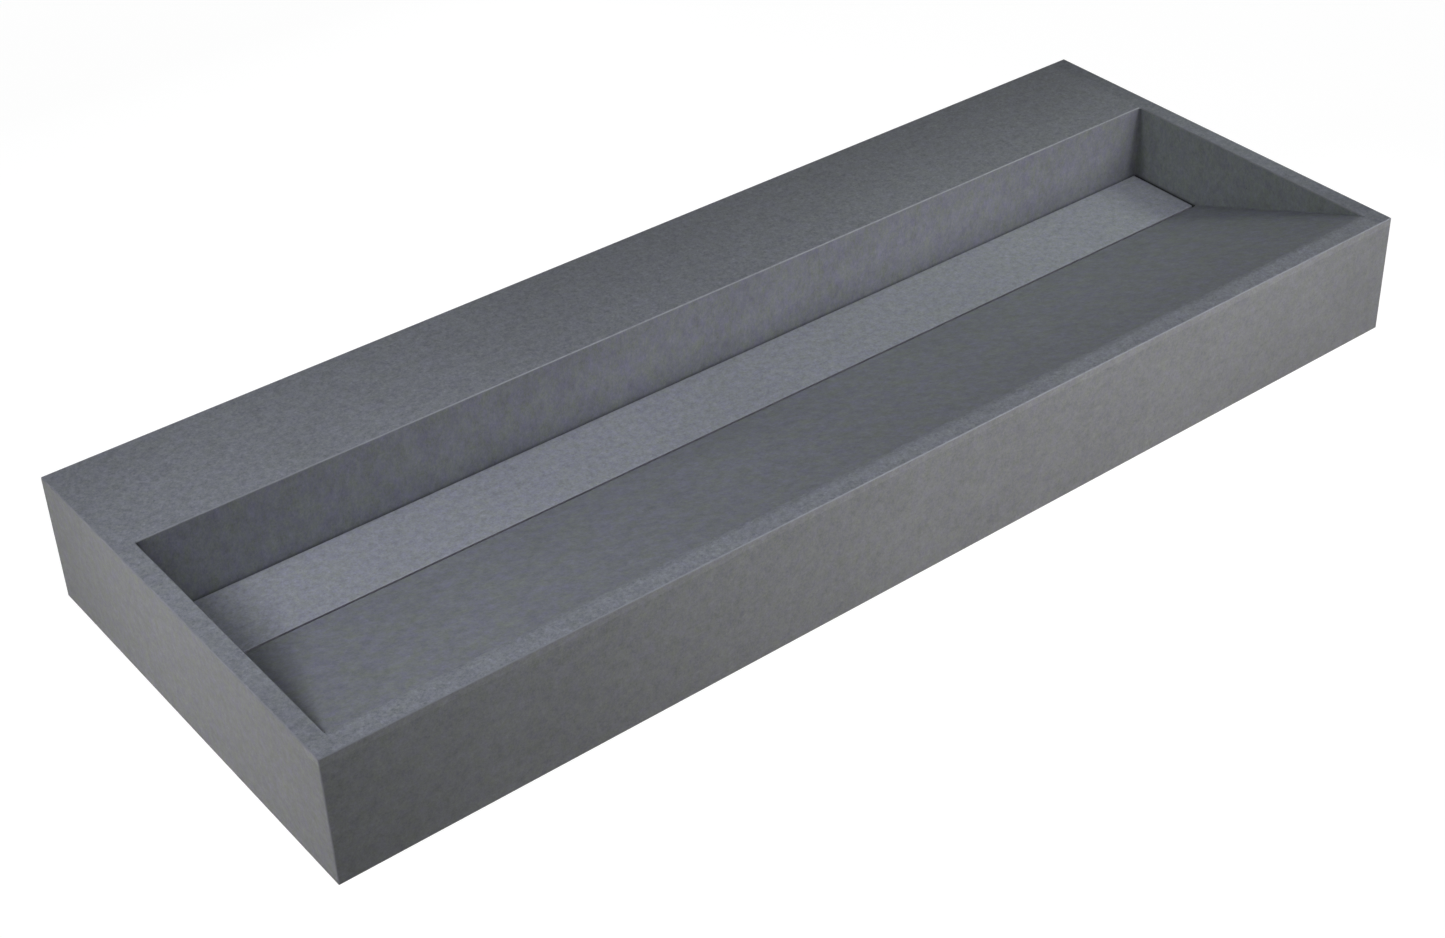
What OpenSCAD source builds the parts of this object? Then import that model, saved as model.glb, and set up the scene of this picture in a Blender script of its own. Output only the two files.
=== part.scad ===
// Trough sink: a cast concrete ramp basin with a plain deck, a loose cover slab
// over a hidden channel, a grid waste and steel anchors in the rear wall.
// +Z is up and +X runs along the length. The origin is the middle of the flat
// rear face, so the wall is the plane y = 0 and the front lies at -Y.

/* [Casting] */
// Overall length of the basin, left to right
basin_l = 1200; // [900:10:1500]
// Overall depth of the basin, wall to front
basin_d = 457; // [400:1:560]
// Height of the sides and the apron
basin_h = 127; // [120:1:180]
// Depth of the plain deck behind the bowl
deck_d = 134; // [100:1:170]
// Thickness of the two side walls
side_t = 19; // [14:0.5:30]
// Thickness of the front apron
apron_t = 20.5; // [14:0.5:30]
// Thickness of the deck slab
deck_t = 19; // [12:0.5:26]
// Thickness of the rear wall that meets the building's wall
rear_t = 19; // [14:0.5:26]
// Thickness of the wall between the deck hollow and the bowl
back_t = 19; // [14:0.5:26]
// Chamfer on the top and upright edges of the casting
arris = 0.8; // [0.5:0.1:2]
// Chamfer on the bottom edges, at the open side of the mould
base_arris = 0.3; // [0.2:0.1:1]
// Draft of the hollows under the casting, in degrees
core_draft = 2; // [0:0.5:4]

/* [Ramp] */
// Drop from the rim to the low edge of the ramp
ramp_drop = 81; // [60:1:90]
// Thickness of the ramp slab
ramp_t = 20; // [14:0.5:26]
// Thickness of the sill between the recess and the ramp hollow
sill_t = 17.5; // [14:0.5:30]
// Fillet where the ramp meets the side walls
ramp_fillet = 2; // [1:0.5:10]
// Radius of the crest where the ramp rolls over into the front rim
crest_r = 24; // [4:1:40]
// Radius of the bowl's two upright corners at the back
corner_r = 2; // [1.5:0.5:8]

/* [Recess and channel] */
// Front-to-back size of the recess that takes the cover
recess_d = 89; // [80:0.5:110]
// Width of the ledge that the cover's edges lie over
ledge_w = 11; // [9:0.5:11.5]
// Depth of the channel below the ledges at its two ends
channel_depth = 8; // [4:0.5:10]
// Fall of the channel floor from its ends to the waste
channel_fall = 6; // [2:0.5:9]
// Length of the level floor round the waste
waste_flat_l = 76; // [68:1:120]
// Radius of the channel's corners in plan
channel_r = 8; // [3:0.5:16]

/* [Cover] */
// Drop from the rim to the top of the cover
cover_drop = 81; // [60:1:83]
// Thickness of the cover slab
cover_t = 13; // [10:0.5:15]
// Joint along the back edge of the cover
cover_gap = 1; // [0.5:0.1:3]
// Slot along the front edge of the cover, where the water runs down
slot_w = 2.8; // [1.5:0.1:4]
// Gap at each end of the cover
cover_end_gap = 2.5; // [1:0.1:5]
// Chamfer on the cover's edges
cover_arris = 0.3; // [0.2:0.1:1.5]
// Thickness of the bumpers under the cover
bumper_t = 2.5; // [1.5:0.1:4]
// Radius of a bumper where it is stuck to the cover
bumper_r = 3.6; // [2.5:0.1:3.8]
// Number of bumpers along each long edge
bumper_count = 6; // [3:1:9]
// Distance of the last bumpers from the ends of the cover
bumper_inset = 40; // [15:1:80]

/* [Waste] */
// Radius of the hole through the floor
waste_hole_r = 22.5; // [21.5:0.25:24]
// Thickness of the concrete between the strainer's seat and the gasket's bed
waste_bed_t = 12; // [10:0.5:13]
// Radius of the shallow bed under the floor for the gasket and the lock nut
waste_bed_r = 38; // [37:0.5:40]
// Radius of the strainer's flange
flange_r = 30.15; // [26:0.25:31]
// Thickness of the strainer's flange
flange_t = 2; // [1.5:0.1:3]
// Depth of the dish in the strainer
dish_depth = 0.8; // [0.3:0.1:1.2]
// Gap round the flange in its seat
seat_gap = 0.9; // [0.5:0.1:1.2]
// Thickness of the seal under the flange
seal_t = 1; // [0.5:0.1:2]
// Outer radius of the strainer's threaded spigot
spigot_r = 18; // [17:0.1:18.3]
// Wall of the spigot
spigot_wall = 1.8; // [1.2:0.1:2.5]
// Length of the spigot below the flange
spigot_l = 15; // [10:1:20]
// Radius of a hole in the strainer
grid_hole_r = 2.6; // [1.5:0.1:2.8]
// Distance between the rings of holes
grid_pitch = 6.4; // [6:0.1:6.6]
// Outer radius of the threaded drain body
body_r = 20.6; // [20.2:0.1:21.2]
// Length of the taper between the drain body's wide and narrow bores
body_taper = 3; // [2:0.5:4]
// Length of the drain body below the lock nut
body_tail = 14; // [8:1:30]
// Thickness of the rubber gasket under the basin
gasket_t = 8; // [4:0.5:12]
// Outer radius of the rubber gasket
gasket_r = 30; // [27:0.5:36]
// Height of the gasket's taper inside the waste hole
gasket_taper = 4; // [2:0.5:8]
// Thickness of the friction washer
washer_t = 1.6; // [1:0.1:3]
// Thickness of the lock nut
nut_t = 9; // [6:0.5:14]
// Size of the lock nut across its flats
nut_af = 54; // [50:1:60]
// Outer radius of the tailpiece
tail_r = 15.875; // [15:0.125:16.5]
// Wall of the tailpiece
tail_wall = 1.37; // [0.9:0.01:2]
// Length of the tailpiece inside the drain body
tail_grip = 16; // [10:1:20]
// Length of the tailpiece below the drain body
tail_l = 110; // [60:1:180]
// Depth of the thread on the tailpiece's upper end
tail_thread = 0.4; // [0.2:0.05:0.5]
// Length of thread that shows below the drain body
tail_thread_show = 2; // [1:0.5:6]

/* [Wall anchors] */
// Drop from the rim to the line of bolts
anchor_drop = 50; // [45:1:75]
// Distance between the two inner bolts
anchor_inner = 400; // [250:10:600]
// Distance of the outer bolts from the ends of the basin
anchor_inset = 100; // [60:5:160]
// Radius of the bolt hole
bolt_r = 5.5; // [4:0.25:6.5]
// Outer radius of the sleeve through the rear wall
sleeve_r = 9; // [8:0.5:12]
// Side of the square load plate
plate_w = 50; // [40:1:50]
// Thickness of the load plate
plate_t = 5; // [3:0.5:8]
// Corner radius of the load plate
plate_corner = 6; // [2:0.5:12]

/* [Hidden] */
$fn = 96;

// Cutting bodies run this far past the faces they open
over = 2;
// Radial gap of screwed, cast-in and slipped-on pieces
fit_gap = 0.1;
// Chamfer on the corners of the lock nut
nut_chamfer = 1.5;
// Part of a bumper's radius that is left at its foot
bumper_foot = 0.85;

concrete = [0.43, 0.44, 0.46];
cover_concrete = [0.47, 0.48, 0.50];
chrome = [0.78, 0.79, 0.80];
brass = [0.78, 0.62, 0.32];
black_rubber = [0.10, 0.10, 0.11];
grey_foam = [0.35, 0.36, 0.38];
white_plastic = [0.88, 0.88, 0.86];
clear_silicone = [0.80, 0.82, 0.84];
zinc_steel = [0.66, 0.68, 0.70];

// Levels, from the rim down
rim_z = basin_h / 2;
base_z = -basin_h / 2;
ramp_low_z = rim_z - ramp_drop;
cover_z = rim_z - cover_drop - cover_t;
ledge_z = cover_z - bumper_t;
end_floor_z = ledge_z - channel_depth;
waste_floor_z = end_floor_z - channel_fall;
flange_z = waste_floor_z - flange_t;
seat_z = flange_z - seal_t;
// On a thin floor there is no bed, and the gasket lies on the underside itself
bed_z = max(seat_z - waste_bed_t, base_z);

// Places, from the wall to the front
bowl_front_y = -basin_d + apron_t;
recess_front_y = -deck_d - recess_d;
recess_mid_y = -deck_d - recess_d / 2;

bowl_l = basin_l - 2 * side_t;
channel_l = bowl_l - 2 * ledge_w;
channel_w = recess_d - 2 * ledge_w;
ramp_run = recess_front_y - bowl_front_y;
ramp_angle = atan(ramp_drop / ramp_run);

cover_l = bowl_l - 2 * cover_end_gap;
cover_w = recess_d - cover_gap - slot_w;
cover_mid_y = -deck_d - cover_gap - cover_w / 2;
// A bumper sits in the middle of the strip of cover that lies over a ledge
bumper_rows = [-deck_d - (ledge_w + cover_gap) / 2, recess_front_y + (ledge_w + slot_w) / 2];

// The drain's pieces, from the gasket's bed down
washer_z = bed_z - gasket_t - washer_t;
nut_z = washer_z - nut_t;
body_end_z = nut_z - body_tail;
tail_top_z = body_end_z + tail_grip;
tail_end_z = body_end_z - tail_l;
spigot_bore_r = spigot_r - spigot_wall;
tail_bore_r = tail_r - tail_wall;
tail_thread_r = tail_r - tail_thread;

// Height gained along a drafted face gives this much lean
function lean(height) = height * tan(core_draft);

// Extrudes a Y-Z outline along X, centred
module along_x(length) {
    rotate([90, 0, 90])
        linear_extrude(length, center = true) children();
}

// Extrudes an X-Z outline from the wall plane towards the front
module along_y(length) {
    rotate([90, 0, 0])
        linear_extrude(length) children();
}

// Rectangle about the origin with chamfered corners, of another size at its lower two
module chamfered_rect(w, h, c, low_c) {
    polygon([
        [-w / 2 + low_c, -h / 2], [w / 2 - low_c, -h / 2], [w / 2, -h / 2 + low_c], [w / 2, h / 2 - c],
        [w / 2 - c, h / 2], [-w / 2 + c, h / 2], [-w / 2, h / 2 - c], [-w / 2, -h / 2 + low_c]
    ]);
}

// Rectangle about the origin with round corners
module rounded_rect(w, h, r) {
    square([w, h - 2 * r], center = true);
    square([w - 2 * r, h], center = true);
    for (x = [-1, 1], y = [-1, 1])
        translate([x * (w / 2 - r), y * (h / 2 - r)]) circle(r);
}

// Block about the origin with all twelve edges chamfered, of another size at the bottom four
module eased_block(l, d, h, c, low_c) {
    intersection() {
        along_x(l) chamfered_rect(d, h, c, low_c);
        translate([0, d / 2, 0]) along_y(d) chamfered_rect(l, h, c, low_c);
        linear_extrude(h, center = true) chamfered_rect(l, d, c, c);
    }
}

// Straight tube on the Z axis, from z up
module tube(outer_r, inner_r, z, height) {
    translate([0, 0, z])
        difference() {
            cylinder(h = height, r = outer_r);
            translate([0, 0, -over]) cylinder(h = height + 2 * over, r = inner_r);
        }
}

// Space of the bowl above the ramp, with round lower corners at the sides
module ramp_space() {
    slope_l = ramp_run / cos(ramp_angle) + over;
    intersection() {
        translate([-bowl_l / 2, bowl_front_y, base_z])
            cube([bowl_l, ramp_run, basin_h + over]);
        translate([0, recess_front_y, ramp_low_z])
            rotate([90 - ramp_angle, 0, 0])
                linear_extrude(slope_l)
                    translate([0, basin_h / 2]) rounded_rect(bowl_l, basin_h, ramp_fillet);
    }
}

// Space over the ledges, from the back of the bowl to the low edge of the ramp,
// with round corners at the back only
module recess_space() {
    translate([0, recess_mid_y, ledge_z])
        linear_extrude(rim_z - ledge_z + over) {
            rounded_rect(bowl_l, recess_d, corner_r);
            translate([-bowl_l / 2, -recess_d / 2]) square([bowl_l, recess_d - corner_r]);
        }
}

// Sliver that comes off the edge between ramp and rim to round it
module crest_space() {
    half_bend = crest_r * tan(ramp_angle / 2);
    along_x(bowl_l)
        difference() {
            polygon([
                [bowl_front_y - half_bend, rim_z], [bowl_front_y - half_bend, rim_z + over],
                [bowl_front_y + half_bend, rim_z + over],
                [bowl_front_y + half_bend * cos(ramp_angle), rim_z - half_bend * sin(ramp_angle)]
            ]);
            translate([bowl_front_y - half_bend, rim_z - crest_r]) circle(crest_r);
        }
}

// Chamfer round the mouth of the bowl, which fades out where the ramp meets the rim
module mouth_chamfer() {
    flare = arris + over;
    fade_y = bowl_front_y + arris / tan(ramp_angle);
    corner_y = -deck_d - corner_r;
    along_x(bowl_l - 2 * corner_r)
        polygon([
            [corner_y, rim_z - arris], [-deck_d, rim_z - arris],
            [-deck_d + flare, rim_z + over], [corner_y, rim_z + over]
        ]);
    translate([0, corner_y, 0])
        along_y(corner_y - fade_y)
            polygon([
                [-bowl_l / 2, rim_z - arris], [bowl_l / 2, rim_z - arris],
                [bowl_l / 2 + flare, rim_z + over], [-bowl_l / 2 - flare, rim_z + over]
            ]);
    for (x = [-1, 1])
        translate([x * (bowl_l / 2 - corner_r), corner_y, rim_z - arris])
            cylinder(h = flare, r1 = corner_r, r2 = corner_r + flare);
}

// Channel under the cover: its floor falls from both ends to the waste
module channel_space() {
    top_z = ledge_z + over;
    intersection() {
        along_y(basin_d)
            polygon([
                [-channel_l / 2, top_z], [-channel_l / 2, end_floor_z],
                [-waste_flat_l / 2, waste_floor_z], [waste_flat_l / 2, waste_floor_z],
                [channel_l / 2, end_floor_z], [channel_l / 2, top_z]
            ]);
        translate([0, recess_mid_y, base_z])
            linear_extrude(basin_h) rounded_rect(channel_l, channel_w, channel_r);
    }
}

// Seat, hole and gasket bed for the waste
module waste_space() {
    translate([0, recess_mid_y, 0]) {
        translate([0, 0, seat_z]) cylinder(h = waste_floor_z - seat_z + over, r = flange_r + seat_gap);
        translate([0, 0, base_z - over]) cylinder(h = basin_h / 2, r = waste_hole_r);
        translate([0, 0, base_z - over]) cylinder(h = bed_z - base_z + over, r = waste_bed_r);
    }
}

// Drafted ends shared by the two hollows under the casting
module core_ends() {
    half = basin_l / 2 - side_t;
    along_y(basin_d)
        polygon([
            [-half - lean(over), base_z - over], [half + lean(over), base_z - over],
            [half - lean(basin_h), rim_z], [-half + lean(basin_h), rim_z]
        ]);
}

// Hollow under the deck; the rear wall is left parallel so that load plates lie flat on it
module deck_core() {
    front_y = -deck_d + back_t;
    top_z = rim_z - deck_t;
    intersection() {
        along_x(basin_l)
            polygon([
                [-rear_t, base_z - over], [-rear_t, top_z],
                [front_y + lean(top_z - base_z), top_z], [front_y - lean(over), base_z - over]
            ]);
        core_ends();
    }
}

// Hollow under the ramp, parallel to it
module ramp_core() {
    back_y = recess_front_y - sill_t;
    under_z = ramp_low_z - ramp_t / cos(ramp_angle);
    under_rise = (basin_d + recess_front_y) * tan(ramp_angle);
    intersection() {
        along_x(basin_l)
            intersection() {
                polygon([
                    [bowl_front_y - lean(over), base_z - over], [back_y + lean(over), base_z - over],
                    [back_y - lean(basin_h), rim_z], [bowl_front_y + lean(basin_h), rim_z]
                ]);
                polygon([
                    [recess_front_y, base_z - over], [recess_front_y, under_z],
                    [-basin_d, under_z + under_rise], [-basin_d, base_z - over]
                ]);
            }
        core_ends();
    }
}

// Places its children at the four bolts, with +Z pointing from the wall to the front
module at_anchors() {
    outer = basin_l / 2 - anchor_inset;
    inner = anchor_inner / 2;
    for (x = [-outer, -inner, inner, outer])
        translate([x, 0, rim_z - anchor_drop]) rotate([90, 0, 0]) children();
}

// One casting: deck, rear wall, apron, sides, ramp, ledges and channel
module basin() {
    color(concrete)
        difference() {
            translate([0, -basin_d / 2, 0]) eased_block(basin_l, basin_d, basin_h, arris, base_arris);
            recess_space();
            ramp_space();
            crest_space();
            mouth_chamfer();
            channel_space();
            waste_space();
            deck_core();
            ramp_core();
            at_anchors() translate([0, 0, -over]) cylinder(h = rear_t + 2 * over, r = sleeve_r + fit_gap);
        }
}

// Load plate on the inside of the rear wall, in one piece with its sleeve
module anchor_plate() {
    difference() {
        union() {
            cylinder(h = rear_t, r = sleeve_r);
            translate([0, 0, rear_t]) linear_extrude(plate_t) rounded_rect(plate_w, plate_w, plate_corner);
        }
        translate([0, 0, -over]) cylinder(h = rear_t + plate_t + 2 * over, r = bolt_r);
    }
}

module anchor_plates() {
    color(zinc_steel) at_anchors() anchor_plate();
}

// Loose slab that lies in the recess and hides the channel
module drain_cover() {
    color(cover_concrete)
        translate([0, cover_mid_y, cover_z + cover_t / 2])
            eased_block(cover_l, cover_w, cover_t, cover_arris, cover_arris);
}

// Bumpers stuck under the cover's two long edges, standing on the ledges
module cover_bumpers() {
    span = cover_l - 2 * bumper_inset;
    step = span / (bumper_count - 1);
    color(clear_silicone)
        for (row_y = bumper_rows, i = [0 : bumper_count - 1])
            translate([-span / 2 + i * step, row_y, ledge_z])
                cylinder(h = bumper_t, r1 = bumper_r * bumper_foot, r2 = bumper_r);
}

// Rings of six holes more each time, round one in the middle
module grid_holes() {
    rings = floor((spigot_bore_r - grid_hole_r) / grid_pitch);
    for (ring = [0 : rings], i = [0 : max(6 * ring, 1) - 1])
        rotate([0, 0, i * 60 / max(ring, 1)])
            translate([ring * grid_pitch, 0, flange_z - over])
                cylinder(h = flange_t + 2 * over, r = grid_hole_r, $fn = 32);
}

// Flange, dished grid and threaded spigot in one casting
module strainer_flange() {
    color(chrome)
        translate([0, recess_mid_y, 0])
            difference() {
                rotate_extrude()
                    polygon([
                        [0, flange_z], [spigot_bore_r, flange_z], [spigot_bore_r, flange_z - spigot_l],
                        [spigot_r, flange_z - spigot_l], [spigot_r, flange_z], [flange_r, flange_z],
                        [flange_r, waste_floor_z - dish_depth / 2], [flange_r - dish_depth, waste_floor_z],
                        [spigot_r + dish_depth, waste_floor_z], [spigot_r, waste_floor_z - dish_depth],
                        [0, waste_floor_z - dish_depth]
                    ]);
                grid_holes();
            }
}

module flange_seal() {
    color(grey_foam)
        translate([0, recess_mid_y, 0]) tube(flange_r, body_r + fit_gap, seat_z, seal_t);
}

// Threaded body: a wide bore for the strainer's spigot, a narrow one for the tailpiece
module drain_body() {
    spigot_end_z = flange_z - spigot_l;
    color(brass)
        translate([0, recess_mid_y, 0])
            rotate_extrude()
                polygon([
                    [body_r, body_end_z], [body_r, flange_z - fit_gap],
                    [spigot_r + fit_gap, flange_z - fit_gap], [spigot_r + fit_gap, spigot_end_z - fit_gap],
                    [tail_bore_r, spigot_end_z - body_taper], [tail_bore_r, tail_top_z],
                    [tail_thread_r + fit_gap, tail_top_z], [tail_thread_r + fit_gap, body_end_z]
                ]);
}

// Rubber gasket under the floor, its taper pushed up into the waste hole
module basin_gasket() {
    color(black_rubber)
        translate([0, recess_mid_y, 0])
            rotate_extrude()
                polygon([
                    [body_r + fit_gap, bed_z - gasket_t], [gasket_r, bed_z - gasket_t],
                    [gasket_r, bed_z], [waste_hole_r - fit_gap, bed_z],
                    [body_r + 2 * fit_gap, bed_z + gasket_taper], [body_r + fit_gap, bed_z + gasket_taper]
                ]);
}

module friction_washer() {
    color(white_plastic)
        translate([0, recess_mid_y, 0]) tube(gasket_r, body_r + fit_gap, washer_z, washer_t);
}

// Hexagon nut with its corners turned off on both sides
module lock_nut() {
    corner_r = nut_af / 2 / cos(30);
    turned_r = corner_r - nut_chamfer;
    color(brass)
        translate([0, recess_mid_y, nut_z])
            difference() {
                intersection() {
                    cylinder(h = nut_t, r = corner_r, $fn = 6);
                    rotate_extrude()
                        polygon([
                            [0, 0], [turned_r, 0], [corner_r + fit_gap, nut_chamfer],
                            [corner_r + fit_gap, nut_t - nut_chamfer], [turned_r, nut_t], [0, nut_t]
                        ]);
                }
                translate([0, 0, -over]) cylinder(h = nut_t + 2 * over, r = body_r + fit_gap);
            }
}

// Plain tube with a shallow thread at its upper end, drawn as a step
module tailpiece() {
    step_z = body_end_z - tail_thread_show;
    color(chrome)
        translate([0, recess_mid_y, 0])
            rotate_extrude()
                polygon([
                    [tail_bore_r, tail_end_z], [tail_r, tail_end_z], [tail_r, step_z],
                    [tail_thread_r, step_z], [tail_thread_r, tail_top_z], [tail_bore_r, tail_top_z]
                ]);
}

basin();
anchor_plates();
drain_cover();
cover_bumpers();
strainer_flange();
flange_seal();
drain_body();
basin_gasket();
friction_washer();
lock_nut();
tailpiece();
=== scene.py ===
"""Look of a cast concrete trough sink: a ramp basin with a plain deck, a loose cover slab over
its channel, a grid waste below it and steel anchors in its rear wall.
Metres, +Z up, the wall at y = 0."""
import math

import bmesh
import bpy
from mathutils import Matrix, Vector


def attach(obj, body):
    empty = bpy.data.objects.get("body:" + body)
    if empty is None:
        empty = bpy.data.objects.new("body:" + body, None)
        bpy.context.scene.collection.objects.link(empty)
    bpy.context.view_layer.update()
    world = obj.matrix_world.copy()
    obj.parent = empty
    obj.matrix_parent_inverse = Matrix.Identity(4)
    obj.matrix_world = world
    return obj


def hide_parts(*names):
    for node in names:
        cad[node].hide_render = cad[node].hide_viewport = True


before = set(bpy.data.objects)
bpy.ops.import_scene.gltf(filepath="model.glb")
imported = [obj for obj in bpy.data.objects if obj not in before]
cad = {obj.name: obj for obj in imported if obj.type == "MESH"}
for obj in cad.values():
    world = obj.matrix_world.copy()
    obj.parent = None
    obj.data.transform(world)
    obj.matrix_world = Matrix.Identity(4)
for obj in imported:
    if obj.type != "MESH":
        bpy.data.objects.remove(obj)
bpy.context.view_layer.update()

scene = bpy.context.scene

# ------------------------------------------------------------------------------
# Camera. It stands in front of the sink and past its left end, and looks across it to the right
# and 35 degrees down, through a short telephoto lens. Place, turn, lens and shift were worked out
# from the sink's edges.
camera_sensor = 36
camera_lens = 61.154
camera_place = Vector((-1.1561, -1.7096, 1.2735))
camera_right = Vector((0.76686, -0.64178, -0.00667))
camera_look = Vector((0.52310, 0.63099, -0.57291))
camera_shift = (-0.07360, -0.02724)

camera_data = bpy.data.cameras.new("camera")
camera_data.sensor_width = camera_sensor
camera_data.lens = camera_lens
camera_data.shift_x, camera_data.shift_y = camera_shift
camera = bpy.data.objects.new("camera", camera_data)
camera_up = camera_right.cross(camera_look).normalized()
camera_turn = Matrix((camera_right, camera_up, -camera_look)).transposed()
camera.matrix_world = Matrix.Translation(camera_place) @ camera_turn.to_4x4()
scene.collection.objects.link(camera)
scene.camera = camera

# ------------------------------------------------------------------------------
# Basin. One casting of grey glass-fibre concrete: a fine face coat against the mould on every
# outer face, and a coarser hand-laid backing with loose fibre ends in the hollows underneath.
# The face coat is sealed matt, with soft clouds, specks, a few pinholes and worn arrises; the long
# arrises also carry a painted highlight, and the bowl's creases and corners a painted shade.
basin_tone = (0.153, 0.160, 0.171)
basin_blue_tint = (0.99, 0.96, 1.16)
basin_olive_tint = (1.00, 1.05, 0.86)
basin_backing = (0.205, 0.200, 0.188)
mould_tint = (1.07, 1.05, 0.975)
end_wall_tint = (0.94, 0.99, 0.92)
rear_wall_tint = (0.95, 0.95, 0.955)
rear_wall_fade = (0.30, 0.10)
right_rim_tint = (0.88, 0.885, 0.90)
front_rim_tint = (1.12, 1.12, 1.12)
front_rim_fade = (-0.4310, -0.4385)
front_rim_level = 0.0560
front_rim_waver = 0.014
front_rim_waver_size = 0.018

# Strength of the blotches, specks and flecks, and what each place adds to it
blotch_base = 0.52
blotch_bowl = 0.30
blotch_top = -0.20
blotch_end = 0.35
blotch_bowl_end = -0.50
speck_base = 1.15
speck_up = 0.48
speck_up_bowl = -0.22
speck_top = 0.15
speck_size = 0.0085
speck_size_top = -0.0027
fleck_base = 0.05
fleck_top = 0.07
ramp_stretch = (0.85, 0.45, 1.0)
wall_stretch = (1.0, 1.0, 0.70)

# Worn edges: how much of them shows and how pale they are against the tone, and the painted
# highlight on the long arrises and how it fades towards the left end
worn_share, worn_gain = 0.10, 1.5
arris_gain, long_arris_highlight_gain = 0.95, 1.52
long_arris_highlight_fade = (-0.50, -0.15)
long_arris_highlight_left = 0.35

# Where the hollows, the ramp and the bowl lie, and how far a face must turn to count
faces_up_from = 0.5
faces_end_from = 0.7
deck_hollow_low = (-0.5818, -0.1158, -0.0640)
deck_hollow_high = (0.5818, -0.0185, 0.0450)
ramp_hollow_low = (-0.5818, -0.4378, -0.0640)
ramp_hollow_high = (0.5818, -0.2395, 0.0480)
ramp_underside_z = -0.0384
ramp_underside_y = -0.2230
ramp_slope = 0.37939
ramp_low_y = -0.2230
open_mould_level = -0.0627
honed_level = 0.0630
bowl_low = (-0.5812, -0.4560, -0.0600)
bowl_high = (0.5812, -0.1338, 0.0622)
bowl_side_x = 0.5810
bowl_rear_y = -0.1340
cover_level = -0.0175

# Reach in metres and depth of the painted shade in the bowl's creases and corners and beside the
# slab's ends
shade_reach, shade_depth = 0.011, 0.14
shade_fade = (0.35, -0.15)
crease_reach, crease_depth = 0.0028, 0.30
corner_reach, corner_depth = 0.018, 0.45
corner_soft_shade_reach, corner_soft_shade_depth = 0.070, 0.13
corner_core = 0.2
corner_width_at_rim, corner_widening = 0.25, 12.0
slab_gap_shade_depth = 0.60


def place(tree, kind, inputs=None, **settings):
    """Adds a node. Inputs go by name or number: a socket is linked, anything else is set."""
    made = tree.nodes.new(kind)
    made.location = (220 * (len(tree.nodes) % 9), -260 * (len(tree.nodes) // 9))
    for name, value in settings.items():
        setattr(made, name, value)
    for name, value in (inputs or {}).items():
        if isinstance(value, bpy.types.NodeSocket):
            tree.links.new(value, made.inputs[name])
        else:
            made.inputs[name].default_value = value
    return made


def wire(tree, node, sockets):
    """Links values to a node's inputs by name."""
    for name, value in sockets.items():
        tree.links.new(value, node.inputs[name])


def calc(tree, operation, a, b=0.0, c=0.0, clamp=False):
    """One step of arithmetic on values."""
    made = place(tree, "ShaderNodeMath", {0: a, 1: b, 2: c}, operation=operation, use_clamp=clamp)
    return made.outputs[0]


def times(tree, a, b, plus=None):
    """a times b, plus a third value where one is given."""
    return calc(tree, "MULTIPLY", a, b) if plus is None else calc(tree, "MULTIPLY_ADD", a, b, plus)


def calc_vector(tree, operation, a, b=(0, 0, 0), result="Vector"):
    """One step of arithmetic on vectors. Where it gives a number, result is "Value"."""
    made = place(tree, "ShaderNodeVectorMath", {0: a, 1: b}, operation=operation)
    return made.outputs[result]


def split(tree, vector):
    """The three coordinates of a vector."""
    return place(tree, "ShaderNodeSeparateXYZ", {0: vector}).outputs


def own_place(tree):
    """Position in the piece's own frame."""
    return place(tree, "ShaderNodeTexCoord").outputs["Object"]


def true_normal(tree):
    """Direction of the flat face, without smoothing."""
    return place(tree, "ShaderNodeNewGeometry").outputs["True Normal"]


def ramp_between(tree, value, low, high, to_low=0.0, to_high=1.0):
    """Smooth step of a value from one level to another."""
    made = place(tree, "ShaderNodeMapRange",
                 {"Value": value, "From Min": low, "From Max": high, "To Min": to_low,
                  "To Max": to_high}, interpolation_type="SMOOTHSTEP")
    return made.outputs["Result"]


def grain(tree, position, size, detail=3.0, roughness=0.6, warp=0.0):
    """Noise with features of about that size in metres, round 0.5."""
    made = place(tree, "ShaderNodeTexNoise",
                 {"Vector": position, "Scale": 1.0 / size, "Detail": detail,
                  "Roughness": roughness, "Distortion": warp})
    return made.outputs["Fac"]


def rgba(colour, gain=1.0):
    """A colour with its alpha, made lighter or darker by a gain."""
    return (*(gain * v for v in colour), 1)


def blend_colour(tree, factor, a, b, kind="MIX"):
    """Mixes two colours by a factor."""
    made = place(tree, "ShaderNodeMix", {0: factor, 6: a, 7: b}, data_type="RGBA", blend_type=kind)
    return made.outputs[2]


def blend_value(tree, factor, a, b):
    """Mixes two values by a factor."""
    return place(tree, "ShaderNodeMix", {0: factor, 2: a, 3: b}, data_type="FLOAT").outputs[0]


def blend_vector(tree, factor, a, b):
    """Mixes two vectors by a factor."""
    return place(tree, "ShaderNodeMix", {0: factor, 4: a, 5: b}, data_type="VECTOR").outputs[1]


def scale_colour(tree, colour, gain):
    """Makes a colour lighter or darker."""
    gains = place(tree, "ShaderNodeCombineXYZ", {0: gain, 1: gain, 2: gain}).outputs[0]
    return calc_vector(tree, "MULTIPLY", colour, gains)


def start_group(kind, name, takes, gives):
    """Starts a node group with named sockets. Returns the tree, its inputs and its output node."""
    tree = bpy.data.node_groups.new(name, kind)
    for label, socket, default in takes:
        made = tree.interface.new_socket(label, in_out="INPUT", socket_type=socket)
        if default is not None:
            made.default_value = default
    for label, socket in gives:
        tree.interface.new_socket(label, in_out="OUTPUT", socket_type=socket)
    return tree, tree.nodes.new("NodeGroupInput").outputs, tree.nodes.new("NodeGroupOutput")


def use_effect(tree, group, inputs):
    """Places a shader node group in a material."""
    return place(tree, "ShaderNodeGroup", inputs, node_tree=group).outputs


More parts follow.
